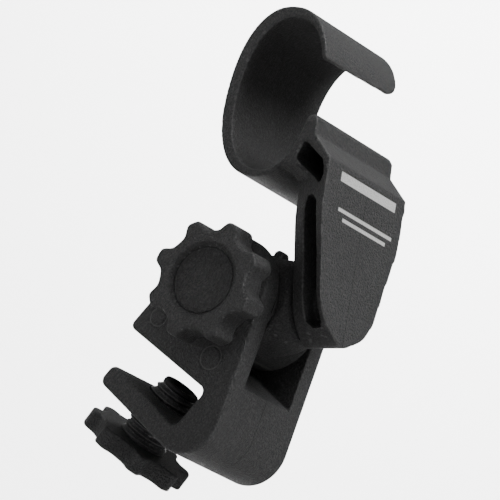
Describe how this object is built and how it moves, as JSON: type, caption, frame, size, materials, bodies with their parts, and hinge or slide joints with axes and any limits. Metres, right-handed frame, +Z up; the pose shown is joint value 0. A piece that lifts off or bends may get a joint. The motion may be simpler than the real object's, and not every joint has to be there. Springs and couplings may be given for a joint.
{
  "type": "helmet brim flashlight mount",
  "caption": "Screw-clamp mount that grips a helmet's brim and carries a small flashlight in an oval open-sided clip, with a tilting fork joint and a swivel.",
  "frame": {"origin": "on the clamp's upper seat, where the thumbscrew's axis meets it", "axes": "+X along the tilt axis, away from the tilt knob; +Y out of the clamp's throat, towards the helmet; +Z up, square to the lower jaw's top. The thumbscrew leans 3.7 degrees from +Z towards the tilt knob and 1.3 degrees towards +Y, as it does in the picture"},
  "size_m": [0.0389, 0.0596, 0.0985],
  "materials": {
    "nylon_body": "fine textured black",
    "nylon_knob": "smooth moulded black",
    "rubber": "matte black",
    "steel": "zinc plated",
    "brass": "turned"
  },
  "bodies": {
    "bracket": {"bracket": "nylon_body", "tilt_bolt": "steel", "friction_washer_near": "rubber", "friction_washer_far": "rubber"},
    "hub": {"swivel_hub": "nylon_body", "swivel_washer": "steel", "swivel_friction_disc": "rubber"},
    "clip": {"light_clip": "nylon_body", "swivel_screw": "steel", "swivel_spring_washer": "steel", "swivel_insert": "brass"},
    "tilt_washer": {"tilt_washer": "steel"},
    "tilt_knob": {"tilt_knob": "nylon_knob", "tilt_knob_insert": "brass", "tilt_knob_cap": "nylon_knob"},
    "clamp_foot": {"clamp_foot": "rubber"},
    "thumbscrew": {"clamp_screw": "nylon_knob", "clamp_knob": "nylon_knob", "clamp_knob_screw": "steel", "clamp_knob_cap": "nylon_knob"}
  },
  "joints": [
    {"name": "tilt", "type": "hinge", "parent": "bracket", "child": "hub", "pos_m": [0, -0.0013, 0.01865], "axis": [1, 0, 0], "range_deg": [-100, 25]},
    {"name": "swivel", "type": "hinge", "parent": "hub", "child": "clip", "pos_m": [0, -0.0013, 0.01865], "axis": [0, -0.766, 0.6428], "range_deg": [-38, 38]},
    {"name": "tilt_knob_travel", "type": "slide", "parent": "bracket", "child": "tilt_washer", "axis": [-1, 0, 0], "range_m": [0, 0.0012]},
    {"name": "tilt_knob_turn", "type": "hinge", "parent": "tilt_washer", "child": "tilt_knob", "pos_m": [0, -0.0013, 0.01865], "axis": [-1, 0, 0], "range_deg": [0, 540.5]},
    {"name": "clamp_travel", "type": "slide", "parent": "bracket", "child": "clamp_foot", "axis": [-0.0645, 0.0226, 0.9977], "range_m": [-0.004, 0.0032]},
    {"name": "clamp_turn", "type": "hinge", "parent": "clamp_foot", "child": "thumbscrew", "pos_m": [0.00137, -0.00048, -0.02125], "axis": [-0.0645, 0.0226, 0.9977], "range_deg": [-961, 769]}
  ],
  "couplings": [
    {"joint": "tilt_knob_turn", "follows": "tilt_knob_travel", "rad_per_m": 7854},
    {"joint": "clamp_turn", "follows": "clamp_travel", "rad_per_m": 4188.8}
  ]
}
